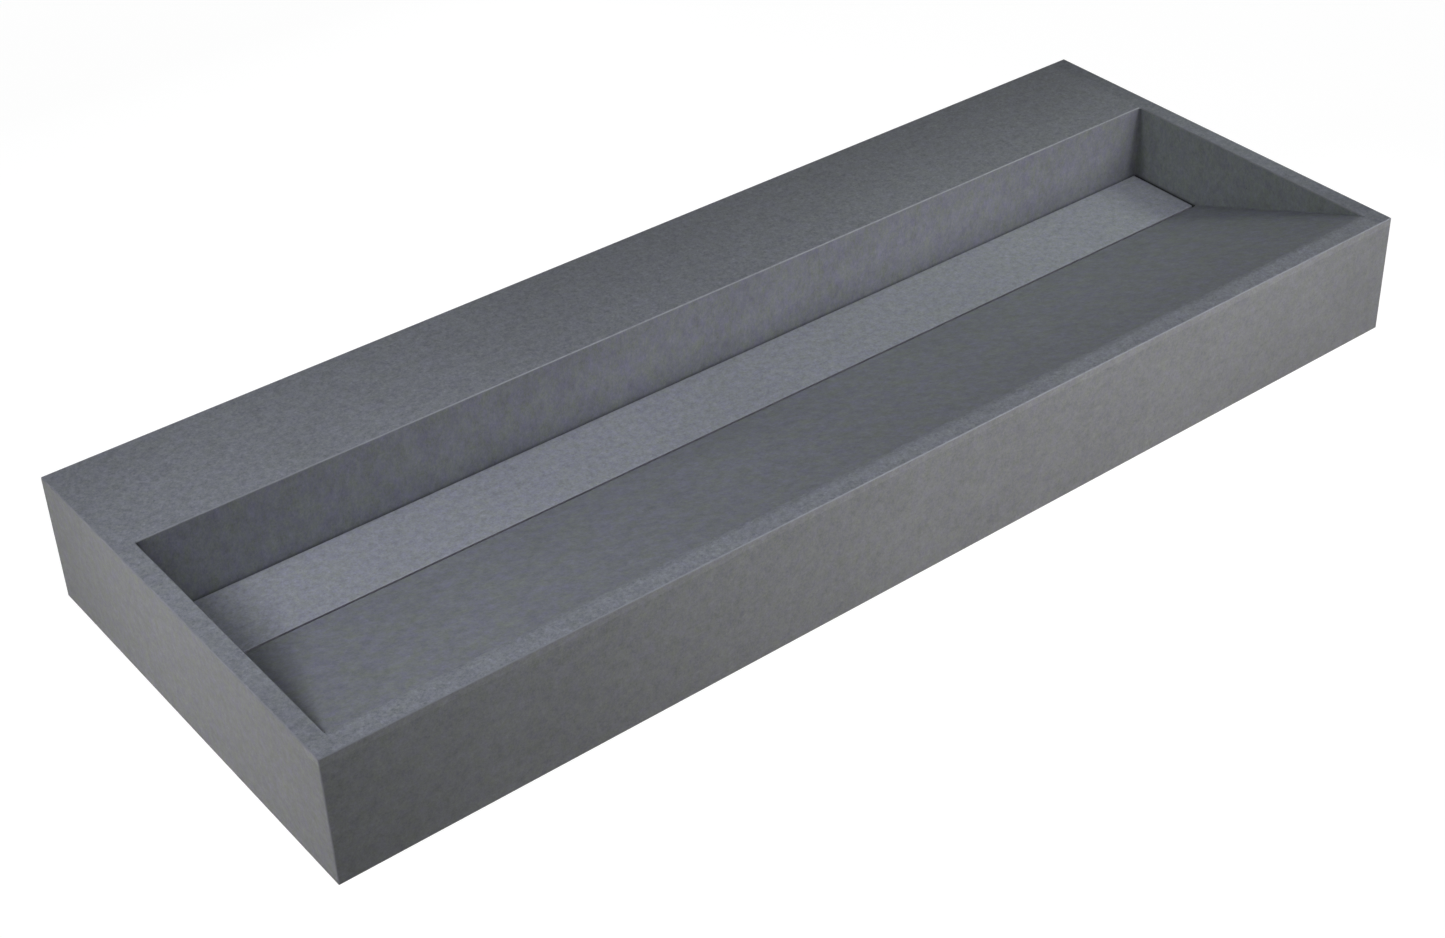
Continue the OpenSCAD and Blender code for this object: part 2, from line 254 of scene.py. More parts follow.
def finish(name, **constants):
    """A new material. Returns it with its node tree and its Principled shader."""
    made = bpy.data.materials.new(name)
    made.use_nodes = True
    tree = made.node_tree
    shader = tree.nodes["Principled BSDF"]
    for label, value in constants.items():
        shader.inputs[label.replace("_", " ")].default_value = value
    return made, tree, shader


def add_relief(tree, shader, height, strength, normal=None):
    """Gives a shader fine relief, from a height in metres."""
    bump = place(tree, "ShaderNodeBump", {"Height": height, "Strength": strength, "Distance": 1.0})
    if normal is not None:
        tree.links.new(normal, bump.inputs["Normal"])
    tree.links.new(bump.outputs[0], shader.inputs["Normal"])


def dress(node, material):
    """Gives a CAD node its material."""
    node.data.materials.clear()
    node.data.materials.append(material)


VALUE, COLOUR, VECTOR = "NodeSocketFloat", "NodeSocketColor", "NodeSocketVector"
# What each group of a finish gives
SKIN = [("Colour", COLOUR), ("Roughness", VALUE), ("Height", VALUE)]

# Mask of the edges, from the difference between the rounded normal and the surface's own, and
# of the narrow chamfered arrises, which face no main direction
bevel_samples = 8
wear_turn = (0.01, 0.14)
nibble_size = 0.004
nibble_kept = (0.25, 0.60)
arris_faces_less = 0.85
long_arris_faces_less = 0.2

edge_mask_group, takes, gives = start_group(
    "ShaderNodeTree", "edge_mask_group", [("Radius", VALUE, 0.0015), ("Raggedness", VALUE, 0.5)],
    [("Mask", VALUE), ("Arris", VALUE), ("Long Arris", VALUE), ("Soft Normal", VECTOR)])
tree = edge_mask_group
bevel = place(tree, "ShaderNodeBevel", {"Radius": takes["Radius"]}, samples=bevel_samples)
rounded = bevel.outputs[0]
smooth = place(tree, "ShaderNodeNewGeometry").outputs["Normal"]
sameness = calc_vector(tree, "DOT_PRODUCT", rounded, smooth, "Value")
turned = ramp_between(tree, calc(tree, "SUBTRACT", 1.0, sameness), *wear_turn)
kept = ramp_between(tree, grain(tree, own_place(tree), nibble_size), *nibble_kept)
ragged = times(tree, calc(tree, "SUBTRACT", kept, 1.0), takes["Raggedness"], 1.0)
facing = split(tree, calc_vector(tree, "ABSOLUTE", true_normal(tree)))
steepest = calc(tree, "MAXIMUM", facing[1], facing[2])
steepest = calc(tree, "MAXIMUM", facing[0], steepest)
arris = calc(tree, "LESS_THAN", steepest, arris_faces_less)
arris = calc(tree, "MULTIPLY", arris, ragged, clamp=True)
along_length = calc(tree, "LESS_THAN", facing[0], long_arris_faces_less)
wire(tree, gives, {
    "Mask": calc(tree, "MULTIPLY", turned, ragged, clamp=True), "Arris": arris,
    "Long Arris": times(tree, arris, along_length), "Soft Normal": rounded})

# Face coat of cast concrete: clouds, two-tone blotches, fine grain, flecks and pits
blotch_contrast = 4.2
cloud_shift = (0.31, 0.17, 0.05)
speck_shift = (0.07, 0.41, 0.13)
flecks_to_a_metre = 420.0
fleck_edge = (0.62, 0.20)
dark_fleck_below, pale_fleck_above = 0.20, 0.84
pit_least, pit_spread = 0.015, 0.035
pit_wall = (1.2, 0.7)
pit_shade, pit_depth = 0.40, 0.0005
sealed_roughness = 0.60
cloud_roughness, speck_roughness = 0.22, 0.30
blotch_height, speck_height = 0.00010, 0.00008

cast_face, takes, gives = start_group("ShaderNodeTree", "cast_face", [
    ("Position", VECTOR, None), ("Spot Position", VECTOR, None),
    ("Tone", COLOUR, (0.16, 0.16, 0.16, 1)), ("Blue Tint", COLOUR, (1, 1, 1, 1)),
    ("Olive Tint", COLOUR, (1, 1, 1, 1)), ("Blotch Size", VALUE, 0.012),
    ("Blotch Strength", VALUE, 1.0), ("Cloud Size", VALUE, 0.12), ("Cloud Strength", VALUE, 0.28),
    ("Speck Size", VALUE, 0.0085), ("Speck Strength", VALUE, 1.5), ("Fleck Strength", VALUE, 0.06),
    ("Pit Spacing", VALUE, 0.02), ("Pit Share", VALUE, 0.08)], SKIN)
tree = cast_face


def grain_by(tree, position, size, detail, roughness, shift=(0, 0, 0)):
    """Noise whose feature size is a group input, less its middle value."""
    moved = calc_vector(tree, "ADD", position, shift)
    made = place(tree, "ShaderNodeTexNoise",
                 {"Vector": moved, "Scale": calc(tree, "DIVIDE", 1.0, size), "Detail": detail,
                  "Roughness": roughness})
    return calc(tree, "SUBTRACT", made.outputs["Fac"], 0.5)


def random_parts(tree, cells):
    """Three random values for each cell of a Voronoi node."""
    return place(tree, "ShaderNodeSeparateColor", {0: cells["Color"]}).outputs


where = takes["Position"]
blotch = grain_by(tree, where, takes["Blotch Size"], detail=4.0, roughness=1.0)
cloud = grain_by(tree, where, takes["Cloud Size"], detail=3.0, roughness=0.6, shift=cloud_shift)
speck = grain_by(tree, where, takes["Speck Size"], detail=4.0, roughness=1.0, shift=speck_shift)
blotch_reach = times(tree, takes["Blotch Strength"], blotch_contrast)
blotch_way = calc(tree, "MULTIPLY_ADD", blotch, blotch_reach, 0.5, clamp=True)
tint = blend_colour(tree, blotch_way, takes["Olive Tint"], takes["Blue Tint"])
tinted = blend_colour(tree, 1.0, takes["Tone"], tint, "MULTIPLY")
cloud_gain = times(tree, cloud, takes["Cloud Strength"], 1.0)
speck_gain = times(tree, speck, takes["Speck Strength"], 1.0)
fleck_cells = place(tree, "ShaderNodeTexVoronoi",
                    {"Vector": takes["Spot Position"], "Scale": flecks_to_a_metre}).outputs
fleck_pick = random_parts(tree, fleck_cells)[0]
fleck_near = ramp_between(tree, fleck_cells["Distance"], *fleck_edge)
dark_fleck = calc(tree, "LESS_THAN", fleck_pick, dark_fleck_below)
pale_fleck = calc(tree, "GREATER_THAN", fleck_pick, pale_fleck_above)
fleck = calc(tree, "SUBTRACT", times(tree, fleck_near, pale_fleck),
             times(tree, fleck_near, dark_fleck))
fleck_gain = times(tree, fleck, takes["Fleck Strength"], 1.0)
pit_cells = place(tree, "ShaderNodeTexVoronoi",
                  {"Vector": takes["Spot Position"],
                   "Scale": calc(tree, "DIVIDE", 1.0, takes["Pit Spacing"])}).outputs
pit_pick = random_parts(tree, pit_cells)
pit_reach = times(tree, pit_pick[1], pit_spread, pit_least)
pit_edge = calc(tree, "DIVIDE", pit_cells["Distance"], pit_reach)
pit = times(tree, ramp_between(tree, pit_edge, *pit_wall),
            calc(tree, "LESS_THAN", pit_pick[0], takes["Pit Share"]))
gain = times(tree, times(tree, cloud_gain, speck_gain), fleck_gain)
gain = times(tree, gain, times(tree, pit, -pit_shade, 1.0))
sealer = times(tree, cloud, cloud_roughness, sealed_roughness)
relief = times(tree, speck, speck_height, times(tree, blotch, blotch_height))
wire(tree, gives, {
    "Colour": scale_colour(tree, tinted, gain),
    "Roughness": times(tree, speck, speck_roughness, sealer),
    "Height": times(tree, pit, -pit_depth, relief)})

# Hand-laid backing: rolled, uneven, with short ends of glass fibre lying in it
fibre_lays = (((0, 0, 0.5), 0.11), ((0, 0, 1.9), 0.37), ((0, 0, 2.8), 0.59), ((0.9, 0, 1.2), 0.83))
fibre_stretch = (55.0, 900.0, 900.0)
fibre_lit = (0.69, 0.74)
fibre_colour = (0.42, 0.42, 0.39)
fibre_share = 0.55
fibre_height = 0.0003
lump_size = 0.022
lump_shade, lump_height = 0.45, 0.0016
crumb_size = 0.0035
crumb_shade, crumb_height = 0.30, 0.0006
backing_level = 0.85
backing_roughness, fibre_roughness = 0.88, -0.25

fibre_backing, takes, gives = start_group(
    "ShaderNodeTree", "fibre_backing", [("Tone", COLOUR, (0.2, 0.2, 0.19, 1))], SKIN)
tree = fibre_backing
where = own_place(tree)
fibres = None
for turn, shift in fibre_lays:
    laid = place(tree, "ShaderNodeMapping",
                 {"Vector": where, "Location": (shift, shift * 2, shift * 3), "Rotation": turn})
    drawn = calc_vector(tree, "MULTIPLY", laid.outputs[0], fibre_stretch)
    strand = place(tree, "ShaderNodeTexNoise",
                   {"Vector": drawn, "Scale": 1.0, "Detail": 1.0}).outputs["Fac"]
    lit = ramp_between(tree, strand, *fibre_lit)
    fibres = lit if fibres is None else calc(tree, "MAXIMUM", fibres, lit)
lumps = grain(tree, where, lump_size, detail=4.0, warp=0.5)
crumbs = grain(tree, where, crumb_size)
gain = times(tree, calc(tree, "SUBTRACT", lumps, 0.5), lump_shade,
             times(tree, crumbs, crumb_shade, backing_level))
backing = scale_colour(tree, takes["Tone"], gain)
relief = times(tree, lumps, lump_height, times(tree, crumbs, crumb_height))
wire(tree, gives, {
    "Colour": blend_colour(tree, times(tree, fibres, fibre_share), backing, rgba(fibre_colour)),
    "Roughness": times(tree, fibres, fibre_roughness, backing_roughness),
    "Height": times(tree, fibres, fibre_height, relief)})


def inside_box(tree, axes, low, high):
    """1 inside a box in the sink's frame, else 0. axes are the three coordinates."""
    held = None
    for axis, near, far in zip(axes, low, high):
        between = calc(tree, "COMPARE", axis, (near + far) / 2, (far - near) / 2)
        held = between if held is None else times(tree, held, between)
    return held


basin_concrete, tree, shader = finish("basin_concrete", Specular_IOR_Level=0.12)
where = own_place(tree)
axes = split(tree, where)
facing = split(tree, true_normal(tree))
in_bowl = inside_box(tree, axes, bowl_low, bowl_high)
outside = calc(tree, "SUBTRACT", 1.0, in_bowl)
on_top = calc(tree, "GREATER_THAN", axes[2], honed_level)
faces_up = calc(tree, "GREATER_THAN", facing[2], faces_up_from)
faces_end = calc(tree, "GREATER_THAN", calc(tree, "ABSOLUTE", facing[0]), faces_end_from)
# The ramp was rubbed down its slope and its walls upright, so the blotches are drawn out that
# way; the top was honed evener
down_ramp = calc_vector(tree, "MULTIPLY", where, ramp_stretch)
down_wall = calc_vector(tree, "MULTIPLY", where, wall_stretch)
rubbed = blend_vector(tree, faces_up, down_wall, down_ramp)
blotches = times(tree, on_top, blotch_top, times(tree, in_bowl, blotch_bowl, blotch_base))
blotches = times(tree, faces_end, times(tree, in_bowl, blotch_bowl_end, blotch_end), blotches)
specks = times(tree, faces_up, times(tree, in_bowl, speck_up_bowl, speck_up), speck_base)
face = use_effect(tree, cast_face, {
    "Position": blend_vector(tree, in_bowl, where, rubbed), "Spot Position": where,
    "Tone": rgba(basin_tone), "Blue Tint": rgba(basin_blue_tint),
    "Olive Tint": rgba(basin_olive_tint), "Blotch Strength": blotches,
    "Speck Strength": times(tree, on_top, speck_top, specks),
    "Speck Size": times(tree, on_top, speck_size_top, speck_size),
    "Fleck Strength": times(tree, on_top, fleck_top, fleck_base)})
# The hollows and the base never touched the mould
back = use_effect(tree, fibre_backing, {"Tone": rgba(basin_backing)})
in_deck_hollow = inside_box(tree, axes, deck_hollow_low, deck_hollow_high)
underside_z = times(tree, calc(tree, "SUBTRACT", ramp_underside_y, axes[1]), ramp_slope,
                    ramp_underside_z)
in_ramp_hollow = times(tree, inside_box(tree, axes, ramp_hollow_low, ramp_hollow_high),
                       calc(tree, "LESS_THAN", axes[2], underside_z))
on_base = calc(tree, "LESS_THAN", axes[2], open_mould_level)
unfaced = calc(tree, "MAXIMUM", in_deck_hollow, in_ramp_hollow)
unfaced = calc(tree, "MAXIMUM", unfaced, on_base)
# The outer faces came off a warmer mould. The bowl's end walls, its rear wall away from the
# right end and the top of the right rim stayed a little darker. The front rim is rubbed paler,
# with an uneven boundary towards the ramp
mould_side = times(tree, outside, calc(tree, "LESS_THAN", facing[2], faces_up_from))
end_wall = times(tree, in_bowl, faces_end)
faces_front = calc(tree, "LESS_THAN", facing[1], -faces_end_from)
rear_wall = times(tree, times(tree, in_bowl, faces_front),
                  ramp_between(tree, axes[0], *rear_wall_fade))
right_rim = times(tree, on_top, calc(tree, "GREATER_THAN", axes[0], bowl_side_x))
waver = grain(tree, where, front_rim_waver_size, roughness=0.7)
waver = times(tree, calc(tree, "SUBTRACT", waver, 0.5), front_rim_waver)
front_rim = times(tree, ramp_between(tree, calc(tree, "ADD", axes[1], waver), *front_rim_fade),
                  calc(tree, "GREATER_THAN", axes[2], front_rim_level))
face_colour = face["Colour"]
for share, tint in ((mould_side, mould_tint), (end_wall, end_wall_tint),
                    (rear_wall, rear_wall_tint), (right_rim, right_rim_tint),
                    (front_rim, front_rim_tint)):
    face_colour = blend_colour(tree, share, face_colour, rgba(tint), "MULTIPLY")
# Arrises along the length are painted pale as a highlight, less so at the left end, the others
# hardly, and the fillets in the bowl not at all
edge_masks = use_effect(tree, edge_mask_group, {"Radius": 0.0010, "Raggedness": 0.5})
worn_edge = times(tree, edge_masks["Mask"], times(tree, outside, worn_share))
short_arris = times(tree, edge_masks["Arris"], outside)
long_arris_highlight_share = times(tree, outside,
                     ramp_between(tree, axes[0], *long_arris_highlight_fade, long_arris_highlight_left, 1.0))
long_arris_highlight = times(tree, edge_masks["Long Arris"], long_arris_highlight_share)
for share, gain in ((worn_edge, worn_gain), (short_arris, arris_gain),
                    (long_arris_highlight, long_arris_highlight_gain)):
    face_colour = blend_colour(tree, share, face_colour, rgba(basin_tone, gain))
# Painted shade darkens the creases where the walls meet each other, the ramp and the cover,
# standing in for the shade that falls there: the two nearest of the three faces give the distance
# to a crease
from_side = calc(tree, "SUBTRACT", bowl_side_x, calc(tree, "ABSOLUTE", axes[0]))
from_rear = calc(tree, "SUBTRACT", bowl_rear_y, axes[1])
from_upright = calc(tree, "ADD", from_side, from_rear)
ramp_z = times(tree, calc(tree, "SUBTRACT", ramp_low_y, axes[1]), ramp_slope, cover_level)
from_floor = calc(tree, "SUBTRACT", axes[2], calc(tree, "MAXIMUM", ramp_z, cover_level))
near_foot = calc(tree, "ADD", calc(tree, "ABSOLUTE", from_floor),
                 calc(tree, "MINIMUM", from_side, from_rear))
to_crease = calc(tree, "MINIMUM", near_foot, from_upright)
shade = times(tree, ramp_between(tree, to_crease, shade_reach, 0.0),
              ramp_between(tree, axes[0], *shade_fade))
crease = ramp_between(tree, to_crease, crease_reach, 0.0)
stain_and_shade = times(tree, times(tree, shade, -shade_depth, 1.0), times(tree, crease, -crease_depth, 1.0))
# The painted shade is widest in the two upright corners at the back, and widens to their foot, as a
# painted shadow of the end walls
corner_width = times(tree, calc(tree, "SUBTRACT", bowl_high[2], axes[2]), corner_widening,
                     corner_width_at_rim)
to_corner = calc(tree, "DIVIDE", from_upright, corner_width)
for reach, depth in ((corner_reach, corner_depth), (corner_soft_shade_reach, corner_soft_shade_depth)):
    corner = ramp_between(tree, to_corner, reach, corner_core * reach)
    stain_and_shade = times(tree, stain_and_shade, times(tree, corner, -depth, 1.0))
# Painted shade darkens the end walls below the slab's top, in the narrow gaps where its ends stand
# close
slab_gap_shade = times(tree, faces_end, calc(tree, "LESS_THAN", axes[2], cover_level))
stain_and_shade = times(tree, stain_and_shade, times(tree, slab_gap_shade, -slab_gap_shade_depth, 1.0))
face_colour = scale_colour(tree, face_colour, blend_value(tree, in_bowl, 1.0, stain_and_shade))
wire(tree, shader, {
    "Base Color": blend_colour(tree, unfaced, face_colour, back["Colour"]),
    "Roughness": blend_value(tree, unfaced, face["Roughness"], back["Roughness"])})
height = blend_value(tree, unfaced, face["Height"], back["Height"])
add_relief(tree, shader, height, strength=0.6, normal=edge_masks["Soft Normal"])
dress(cad["basin"], basin_concrete)

# ------------------------------------------------------------------------------
# Anchor plates. Four square steel load plates with a sleeve through the rear wall, zinc plated
# and cast in with the backing. The wall bolts pass through them from the deck hollow.
zinc_bright = (0.62, 0.64, 0.66)
zinc_dull = (0.40, 0.42, 0.44)
zinc_rubbed = (0.78, 0.79, 0.80)
spangles_to_a_metre = 160.0
dull_patch_size, dull_patch_share = 0.02, 0.5
dull_patch_edge = (0.4, 0.7)
zinc_rubbed_share = 0.6
zinc_roughness = 0.30
spangle_roughness, dull_roughness = 0.16, 0.18
spangle_height = 0.00008

zinc_plate, tree, shader = finish("zinc_plate", Metallic=1.0)
where = own_place(tree)
spangle = place(tree, "ShaderNodeTexVoronoi",
                {"Vector": where, "Scale": spangles_to_a_metre}).outputs["Color"]
facet = place(tree, "ShaderNodeSeparateColor", {0: spangle}).outputs[0]
dulled = ramp_between(tree, grain(tree, where, dull_patch_size, detail=4.0), *dull_patch_edge)
edge_masks = use_effect(tree, edge_mask_group, {"Radius": 0.0008, "Raggedness": 0.4})
zinc = blend_colour(tree, facet, rgba(zinc_dull), rgba(zinc_bright))
zinc = blend_colour(tree, times(tree, dulled, dull_patch_share), zinc, rgba(zinc_dull))
rubbed = times(tree, edge_masks["Mask"], zinc_rubbed_share)
rough = times(tree, dulled, dull_roughness, zinc_roughness)
wire(tree, shader, {
    "Base Color": blend_colour(tree, rubbed, zinc, rgba(zinc_rubbed)),
    "Roughness": times(tree, facet, spangle_roughness, rough)})
height = times(tree, facet, spangle_height)
add_relief(tree, shader, height, strength=0.5, normal=edge_masks["Soft Normal"])
dress(cad["anchor_plates"], zinc_plate)

# ------------------------------------------------------------------------------
# Drain cover. A loose slab of the same concrete, cast flat on its own and honed, so it is a
# little paler and more evenly speckled than the basin. It lies in the recess and lifts out.
cover_tone = (0.215, 0.223, 0.241)
cover_blue_tint = (0.99, 0.97, 1.12)
cover_olive_tint = (1.01, 1.04, 0.88)
cover_side_shade = (0.80, 0.74, 0.75)
cover_right_end_light = (1.15, 1.15, 1.15)
cover_right_end_light_fade = (0.20, 0.58)
cover_worn_share, cover_wear_and_highlight_gain = 0.25, 1.3

cover_concrete, tree, shader = finish("cover_concrete", Specular_IOR_Level=0.12)
where = own_place(tree)
face = use_effect(tree, cast_face, {
    "Position": where, "Spot Position": where, "Tone": rgba(cover_tone),
    "Blue Tint": rgba(cover_blue_tint), "Olive Tint": rgba(cover_olive_tint),
    "Blotch Size": 0.011, "Blotch Strength": 0.62, "Cloud Strength": 0.20, "Speck Size": 0.008,
    "Speck Strength": 1.25, "Fleck Strength": 0.08, "Pit Share": 0.05})
# Its upright sides, which stand in the slot and the gaps round it, are painted darker and a little
# brown as shade, and its right end is painted paler as light
steepness = calc(tree, "ABSOLUTE", split(tree, true_normal(tree))[2])
upright = calc(tree, "LESS_THAN", steepness, faces_up_from)
cover_shade_and_light = blend_colour(tree, upright, face["Colour"], rgba(cover_side_shade), "MULTIPLY")
right_end_light = ramp_between(tree, split(tree, where)[0], *cover_right_end_light_fade)
cover_shade_and_light = blend_colour(tree, right_end_light, cover_shade_and_light, rgba(cover_right_end_light), "MULTIPLY")
# Its edges are worn a little paler, and its arrises are painted pale as a highlight
edge_masks = use_effect(tree, edge_mask_group, {"Radius": 0.0010, "Raggedness": 0.5})
rubbed = calc(tree, "MAXIMUM", times(tree, edge_masks["Mask"], cover_worn_share), edge_masks["Arris"])
wire(tree, shader, {
    "Base Color": blend_colour(tree, rubbed, cover_shade_and_light, rgba(cover_tone, cover_wear_and_highlight_gain)),
    "Roughness": face["Roughness"]})
add_relief(tree, shader, face["Height"], strength=0.6, normal=edge_masks["Soft Normal"])
dress(cad["drain_cover"], cover_concrete)

# ------------------------------------------------------------------------------
# Cover bumpers. Two rows of clear silicone pads with a domed foot, stuck under the cover's long
# edges. They are moulded on a sheet and pressed on by hand, six to a row.
bumper_radius = 0.0036
bumper_height = 0.0025
bumper_flat = 0.55
bumper_dome = 0.82
bumper_points = 9
bumper_segments = 40
bumper_pitch = 0.2154
bumper_row_offset = 0.03805
bumper_foot_z = -0.0330
bumper_rows_y = -0.17805
bumpers_in_a_row = 6
silicone_cloudy = (0.80, 0.82, 0.83)
silicone_clear = (0.93, 0.94, 0.94)
silicone_roughness = (0.10, 0.30)
haze_size, haze_height = 0.0015, 0.00003
haze_edge = (0.3, 0.7)

clear_silicone, tree, shader = finish("clear_silicone", IOR=1.41, Transmission_Weight=0.55,
                                      Specular_IOR_Level=0.5)
haze = grain(tree, own_place(tree), haze_size)
wire(tree, shader, {
    "Base Color": blend_colour(tree, haze, rgba(silicone_cloudy), rgba(silicone_clear)),
    "Roughness": ramp_between(tree, haze, *haze_edge, *silicone_roughness)})
add_relief(tree, shader, times(tree, haze, haze_height), strength=0.4)


def bake_shape(name, mesh, group, values):
    """Runs a Geometry Nodes tree on a mesh and returns the result as a plain new object."""
    holder = bpy.data.objects.new(name + "_blank", mesh)
    scene.collection.objects.link(holder)
    modifier = holder.modifiers.new("shape", "NODES")
    modifier.node_group = group
    for item in group.interface.items_tree:
        if item.item_type == "SOCKET" and item.in_out == "INPUT" and item.name in values:
            modifier[item.identifier] = values[item.name]
    seen = holder.evaluated_get(bpy.context.evaluated_depsgraph_get())
    plain = bpy.data.meshes.new_from_object(seen)
    bpy.data.objects.remove(holder)
    made = bpy.data.objects.new(name, plain)
    plain.name = name
    scene.collection.objects.link(made)
    return made


def turned_mesh(name, outline, segments):
    """Closed mesh turned round Z from (radius, z) points that run counterclockwise."""
    made = bmesh.new()
    rings = []
    for radius, z in outline:
        if radius < 1e-7:
            rings.append([made.verts.new((0, 0, z))])
            continue
        angles = (2 * math.pi * i / segments for i in range(segments))
        rings.append([made.verts.new((radius * math.cos(a), radius * math.sin(a), z))
                      for a in angles])
    for a, b in zip(rings, rings[1:] + rings[:1]):
        for i in range(segments):
            j = (i + 1) % segments
            corners = [a[i % len(a)], a[j % len(a)], b[j % len(b)], b[i % len(b)]]
            corners = [v for k, v in enumerate(corners) if v not in corners[:k]]
            if len(corners) > 2:
                made.faces.new(corners)
    bmesh.ops.recalc_face_normals(made, faces=made.faces)
    for f in made.faces:
        f.smooth = True
    mesh = bpy.data.meshes.new(name)
    made.to_mesh(mesh)
    made.free()
    return mesh


bumper_outline = [(0.0, bumper_height), (0.0, 0.0)]
for k in range(bumper_points + 1):
    angle = math.pi / 2 * k / bumper_points
    bumper_outline.append((bumper_radius * (bumper_flat + (1 - bumper_flat) * math.sin(angle)),
                           bumper_height * bumper_dome * (1 - math.cos(angle))))
bumper_outline.append((bumper_radius, bumper_height))
one_bumper = turned_mesh("one_bumper", bumper_outline, bumper_segments)

INTEGER, MATERIAL, GEOMETRY = "NodeSocketInt", "NodeSocketMaterial", "NodeSocketGeometry"
bumper_rows, takes, gives = start_group("GeometryNodeTree", "bumper_rows", [
    ("Geometry", GEOMETRY, None), ("Pitch", VALUE, 0.2), ("Row Offset", VALUE, 0.03),
    ("Middle", VECTOR, None), ("In A Row", INTEGER, 6), ("Silicone", MATERIAL, None)],
    [("Geometry", GEOMETRY)])
tree = bumper_rows
reach = times(tree, calc(tree, "SUBTRACT", takes["In A Row"], 1.0), takes["Pitch"])
row_start = place(tree, "ShaderNodeCombineXYZ", {0: times(tree, reach, -0.5)})
row_step = place(tree, "ShaderNodeCombineXYZ", {0: takes["Pitch"]})
row = place(tree, "GeometryNodeMeshLine",
            {"Count": takes["In A Row"], "Start Location": row_start.outputs[0],
             "Offset": row_step.outputs[0]})
both = place(tree, "GeometryNodeJoinGeometry")
for side in (-1.0, 1.0):
    aside = place(tree, "ShaderNodeCombineXYZ", {1: times(tree, takes["Row Offset"], side)})
    put = calc_vector(tree, "ADD", takes["Middle"], aside.outputs[0])
    line = place(tree, "GeometryNodeTransform", {"Geometry": row.outputs[0], "Translation": put})
    tree.links.new(line.outputs[0], both.inputs[0])


def deliver(tree, shape, material, gives):
    """Ends a Geometry Nodes tree: real geometry in its material."""
    real = place(tree, "GeometryNodeRealizeInstances", {0: shape.outputs[0]})
    coated = place(tree, "GeometryNodeSetMaterial",
                   {"Geometry": real.outputs[0], "Material": material})
    tree.links.new(coated.outputs[0], gives.inputs[0])


stood = place(tree, "GeometryNodeInstanceOnPoints",
              {"Points": both.outputs[0], "Instance": takes["Geometry"]})
deliver(tree, stood, takes["Silicone"], gives)

bumpers = bake_shape("silicone_bumpers", one_bumper, bumper_rows, {
    "Pitch": bumper_pitch, "Row Offset": bumper_row_offset,
    "Middle": (0.0, bumper_rows_y, bumper_foot_z), "In A Row": bumpers_in_a_row,
    "Silicone": clear_silicone})
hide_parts("cover_bumpers")
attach(bumpers, "cover")
dress(cad["cover_bumpers"], clear_silicone)

# ------------------------------------------------------------------------------
# Strainer. Flange, dished grid and threaded spigot are one brass casting, turned, polished and
# chrome plated. It screws down into the drain body and ends flush with the channel floor.
chrome_bright = (0.60, 0.61, 0.62)
strainer_stain = (0.52, 0.52, 0.51)

# Polished or turned metal: stained in spots, with hairlines round it from the lathe
stain_size = 0.006
stain_edge = (0.50, 0.72)
stain_roughness = 0.35
hairline_stretch = (1.0, 1.0, 14.0)
hairlines_to_a_metre = 420.0
hairline_roughness, hairline_height = 0.10, 0.000006
metal_edge_share = 0.5

plated, takes, gives = start_group("ShaderNodeTree", "plated_finish", [
    ("Metal", COLOUR, (0.8, 0.8, 0.8, 1)), ("Stain", COLOUR, (0.5, 0.5, 0.5, 1)),
    ("Base Roughness", VALUE, 0.1), ("Stain Strength", VALUE, 0.3)], SKIN)
tree = plated
where = own_place(tree)
spots = grain(tree, where, stain_size, detail=4.0, roughness=0.65, warp=0.8)
stain_and_shade = times(tree, ramp_between(tree, spots, *stain_edge), takes["Stain Strength"])
hairlines = place(tree, "ShaderNodeTexNoise",
                  {"Vector": calc_vector(tree, "MULTIPLY", where, hairline_stretch),
                   "Scale": hairlines_to_a_metre, "Detail": 2.0}).outputs["Fac"]
polish = times(tree, hairlines, hairline_roughness, takes["Base Roughness"])
wire(tree, gives, {
    "Colour": blend_colour(tree, stain_and_shade, takes["Metal"], takes["Stain"]),
    "Roughness": times(tree, stain_and_shade, stain_roughness, polish),
    "Height": times(tree, hairlines, hairline_height)})


def metal_finish(name, metal, stain, roughness, stain_strength, edge_light):
    """Turned or plated metal with stains, hairlines and bright edges."""
    made, tree, shader = finish(name, Metallic=1.0)
    skin = use_effect(tree, plated, {
        "Metal": rgba(metal), "Stain": rgba(stain), "Base Roughness": roughness,
        "Stain Strength": stain_strength})
    edge_masks = use_effect(tree, edge_mask_group, {"Radius": 0.0004, "Raggedness": 0.3})
    bright = tuple(min(1.0, v * edge_light) for v in metal)
    rubbed = times(tree, edge_masks["Mask"], metal_edge_share)
    wire(tree, shader, {
        "Base Color": blend_colour(tree, rubbed, skin["Colour"], rgba(bright)),
        "Roughness": skin["Roughness"]})
    add_relief(tree, shader, skin["Height"], strength=0.5, normal=edge_masks["Soft Normal"])
    return made


strainer_chrome = metal_finish("strainer_chrome", chrome_bright, strainer_stain, roughness=0.06,
                               stain_strength=0.35, edge_light=1.08)
dress(cad["strainer_flange"], strainer_chrome)

# ------------------------------------------------------------------------------
# Flange seal. A ring of closed-cell foam, cut from sheet, squeezed flat between the flange and
# the concrete seat.
seal_grey = (0.085, 0.090, 0.100)
seal_hollow_shade_gain, seal_cell_wall_light_gain = 0.6, 1.25
foam_cells_to_a_metre = 1800.0
foam_wall = (0.2, 0.6)
foam_roughness = (0.95, 0.82)
foam_height = 0.0001

seal_foam, tree, shader = finish("seal_foam", Specular_IOR_Level=0.2)
